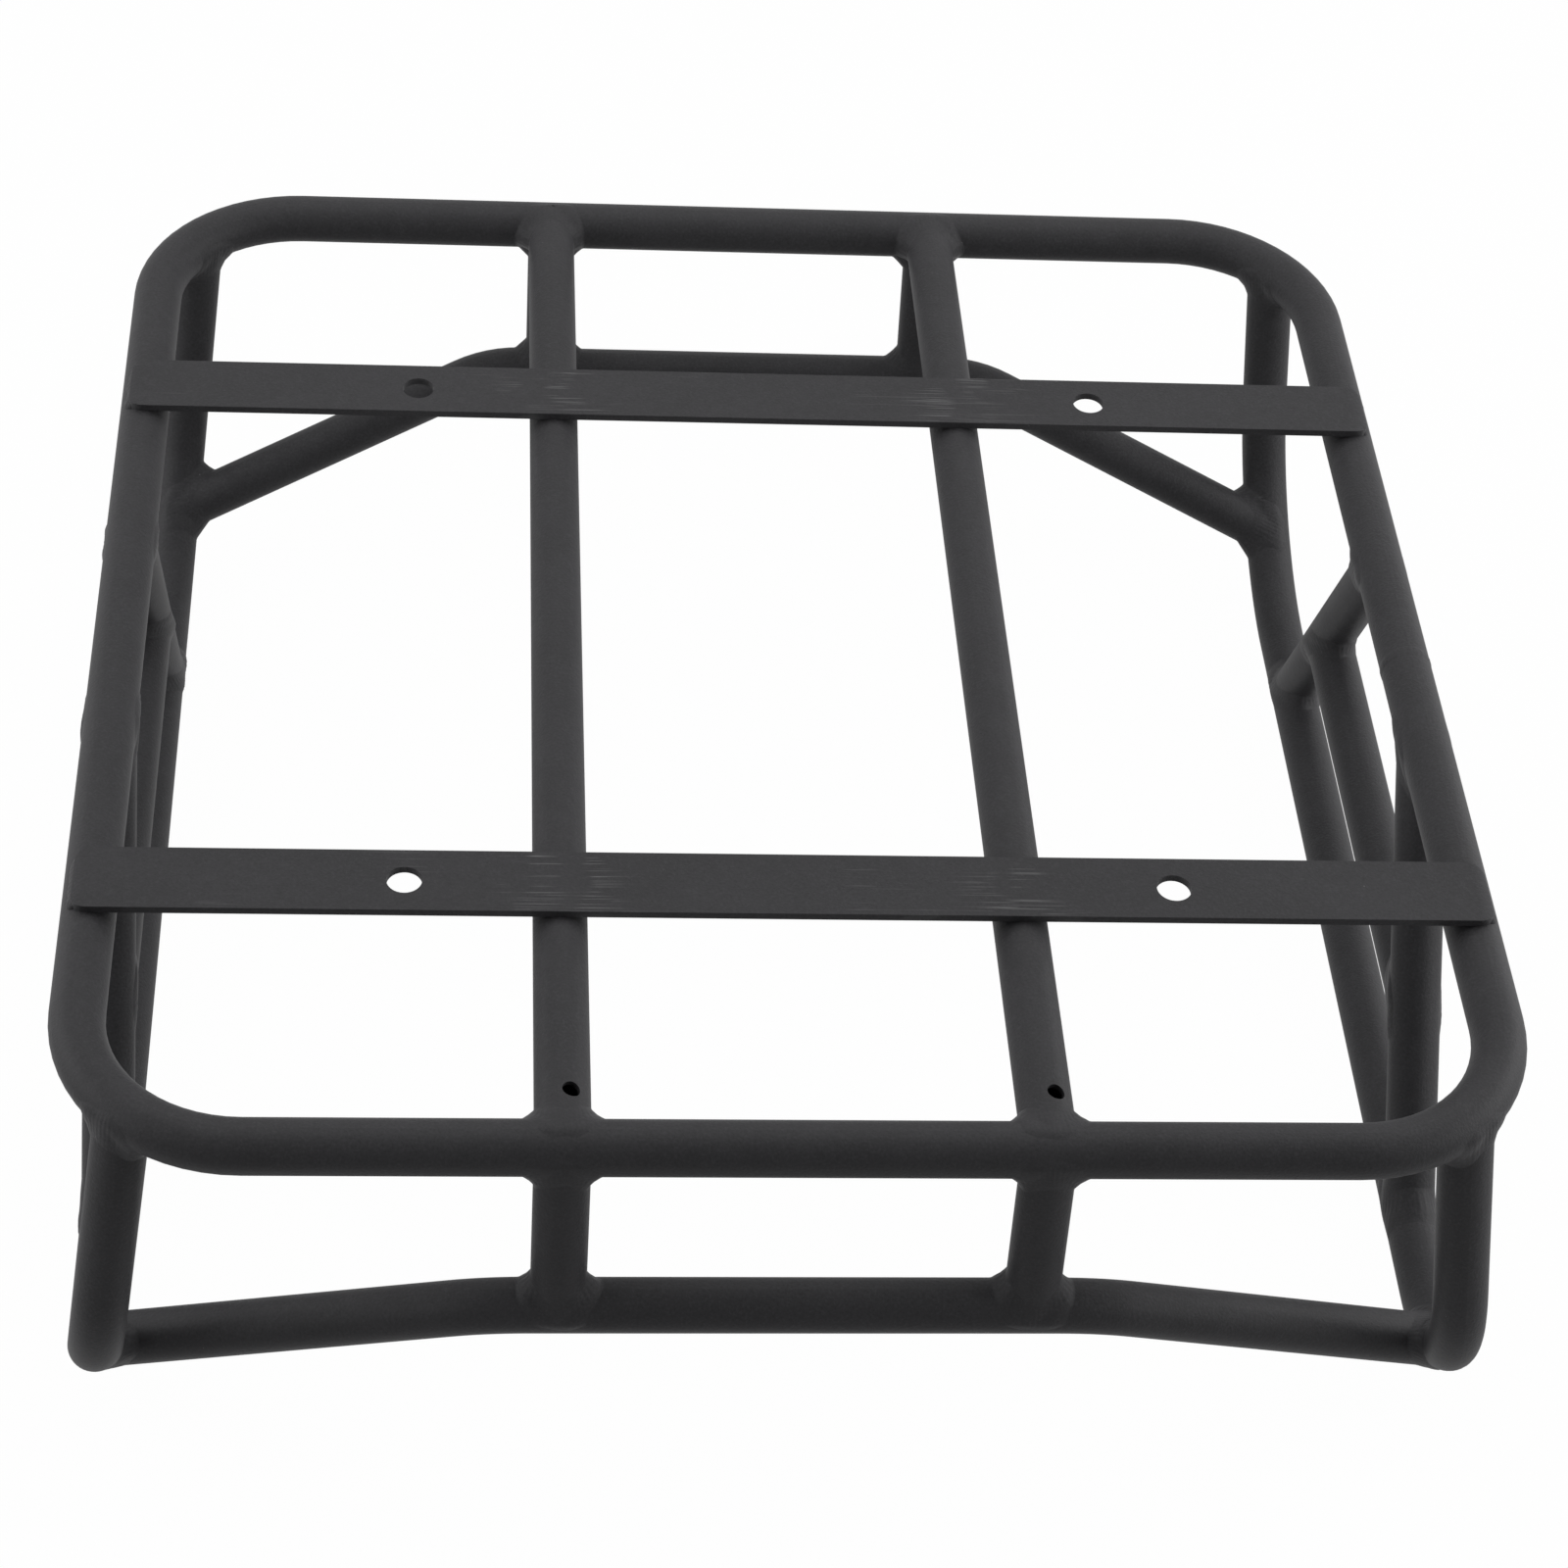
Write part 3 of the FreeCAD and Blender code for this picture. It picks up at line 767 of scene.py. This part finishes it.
class RACK_OT_coats(bpy.types.Operator):
    """Make the powder coats and put them on the tubes"""
    bl_idname = "rack.coats"
    bl_label = "Coat Tubes"

    def execute(self, context):
        coat = context.scene.rack.coat
        coats = {
            "tube_coat": powder_coat("tube_powder_coat", coat),
            "strap_coat": powder_coat("strap_powder_coat", coat, scuffed=True),
            "weld_coat": powder_coat("weld_powder_coat", coat, pitted=True),
        }
        for part in frame["record"]["subparts"]:
            mesh = frame["nodes"][part["node"]].data
            mesh.materials.clear()
            mesh.materials.append(coats[part["material_slot"]])
        return {"FINISHED"}


# ---- studio -------------------------------------------------------------------------------------
CAMERA_PLACE = Vector((-0.1200, -0.8161, 0.9762))      # in deck coordinates
CAMERA_AZIMUTH = math.radians(6.935)
CAMERA_DIP = math.radians(44.22)
CAMERA_ROLL = math.radians(5.605)
CAMERA_LENS_MM = 84.61
SENSOR_MM = 36.0
FLOOR_REACH = 6.0
FLOOR_GAP = 0.0002          # keeps the floor clear of the side hoops
OVERHEAD_PLACE, OVERHEAD_TARGET, OVERHEAD_SIZE = (0.0, 0.75, 1.9), (0, 0.15, 0.1), (2.8, 2.2)
FILL_OUT, FILL_RISE, FILL_TARGET, FILL_SIZE = 1.4, 0.60, (0, 0, 0.1), (1.8, 0.8)
RIGHT_FILL_SHARE = 1.4      # the right side light, as a share of the left one


def add_camera():
    forward = Vector((math.sin(CAMERA_AZIMUTH) * math.cos(CAMERA_DIP),
                      math.cos(CAMERA_AZIMUTH) * math.cos(CAMERA_DIP), -math.sin(CAMERA_DIP)))
    level = Vector((math.cos(CAMERA_AZIMUTH), -math.sin(CAMERA_AZIMUTH), 0))
    above = level.cross(forward)
    right = level * math.cos(CAMERA_ROLL) + above * math.sin(CAMERA_ROLL)
    up = above * math.cos(CAMERA_ROLL) - level * math.sin(CAMERA_ROLL)
    lens = bpy.data.cameras.new("studio_camera")
    lens.sensor_width = SENSOR_MM
    lens.lens = CAMERA_LENS_MM
    lens.clip_start = 0.05
    lens.clip_end = 50
    camera = bpy.data.objects.new("studio_camera", lens)
    turn = Matrix((right, up, -forward)).transposed().to_4x4()
    camera.matrix_world = Matrix.Translation(DECK_ORIGIN + CAMERA_PLACE) @ turn
    bpy.context.scene.collection.objects.link(camera)
    bpy.context.scene.camera = camera


def add_soft_light(name, place, target, size, power):
    lamp = bpy.data.lights.new(name, "AREA")
    lamp.shape = "RECTANGLE"
    lamp.size, lamp.size_y = size
    lamp.energy = power
    light = bpy.data.objects.new(name, lamp)
    light.location = place
    light.rotation_mode = "QUATERNION"
    light.rotation_quaternion = (Vector(target) - Vector(place)).to_track_quat("-Z", "Y")
    bpy.context.scene.collection.objects.link(light)


def seen_directly(tree):
    """1 for what the camera sees straight, in a mirror or through glass, else 0."""
    path = tree.add("ShaderNodeLightPath", output="Is Camera Ray").socket.node
    return (Wire(tree, path.outputs["Is Camera Ray"]) + Wire(tree, path.outputs["Is Glossy Ray"])
            + Wire(tree, path.outputs["Is Transmission Ray"]))


def add_floor(studio):
    mesh = bpy.data.meshes.new("studio_floor")
    corners = [(-1, -1), (1, -1), (1, 1), (-1, 1)]
    mesh.from_pydata([(x * FLOOR_REACH, y * FLOOR_REACH, -FLOOR_GAP) for x, y in corners], [], [(0, 1, 2, 3)])
    floor = bpy.data.objects.new("studio_floor", mesh)
    bpy.context.scene.collection.objects.link(floor)
    material = bpy.data.materials.new("studio_floor")
    tree = Tree(material)
    matt = tree.add("ShaderNodeBsdfDiffuse", None, {"Color": rgba(studio.floor_colour)})
    white = tree.add("ShaderNodeEmission", None, {"Color": (1.0, 1.0, 1.0, 1.0), "Strength": 1.0})
    shade = tree.add("ShaderNodeMixShader", None,
                     {0: seen_directly(tree) * studio.floor_glow, 1: matt, 2: white})
    tree.add("ShaderNodeOutputMaterial", None, {"Surface": shade})
    mesh.materials.append(material)


def add_surround(studio):
    world = bpy.data.worlds.new("studio_surround")
    tree = Tree(world)
    direct = seen_directly(tree)
    strength = direct + (1 - direct) * studio.sky
    sky = tree.add("ShaderNodeBackground", None, {"Color": (1.0, 1.0, 1.0, 1.0), "Strength": strength})
    tree.add("ShaderNodeOutputWorld", None, {"Surface": sky})
    bpy.context.scene.world = world


class RACK_OT_stage(bpy.types.Operator):
    """Set the pale floor, the soft lights and the camera"""
    bl_idname = "rack.stage"
    bl_label = "Set Stage"

    def execute(self, context):
        studio = context.scene.rack.studio
        add_camera()
        add_floor(studio)
        add_surround(studio)
        add_soft_light("overhead", OVERHEAD_PLACE, OVERHEAD_TARGET, OVERHEAD_SIZE, studio.key_power)
        for name, side in SIDES.items():
            power = studio.fill_power * (RIGHT_FILL_SHARE if name == "right" else 1)
            add_soft_light(name + "_fill", (side * FILL_OUT, 0.0, FILL_RISE), FILL_TARGET, FILL_SIZE, power)
        context.scene.view_settings.view_transform = "Standard"
        return {"FINISHED"}


class RACK_PT_sidebar(bpy.types.Panel):
    """Settings and steps of the rack's finish"""
    bl_idname = "RACK_PT_sidebar"
    bl_label = "Luggage Rack"
    bl_space_type = "VIEW_3D"
    bl_region_type = "UI"
    bl_category = "Rack"

    def draw(self, context):
        settings = context.scene.rack
        for group in (settings.coat, settings.weld, settings.strap, settings.studio):
            box = self.layout.box()
            for name in group.__annotations__:
                box.prop(group, name)
        for step in STEPS:
            self.layout.operator(step.bl_idname)


STEPS = (RACK_OT_coats, RACK_OT_fillet_beads, RACK_OT_seam_bead, RACK_OT_straps, RACK_OT_stage)
CLASSES = (RackWeldSettings, RackStrapSettings, RackCoatSettings, RackStudioSettings, RackSettings,
           *STEPS, RACK_PT_sidebar)


def register():
    for kind in CLASSES:
        bpy.utils.register_class(kind)
    bpy.types.Scene.rack = PointerProperty(type=RackSettings)


def unregister():
    del bpy.types.Scene.rack
    for kind in reversed(CLASSES):
        bpy.utils.unregister_class(kind)


def main():
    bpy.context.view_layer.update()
    register()
    bpy.ops.rack.coats()
    bpy.ops.rack.fillet_beads()
    bpy.ops.rack.seam_bead()
    bpy.ops.rack.straps()
    bpy.ops.rack.stage()


if __name__ == "__main__":
    main()
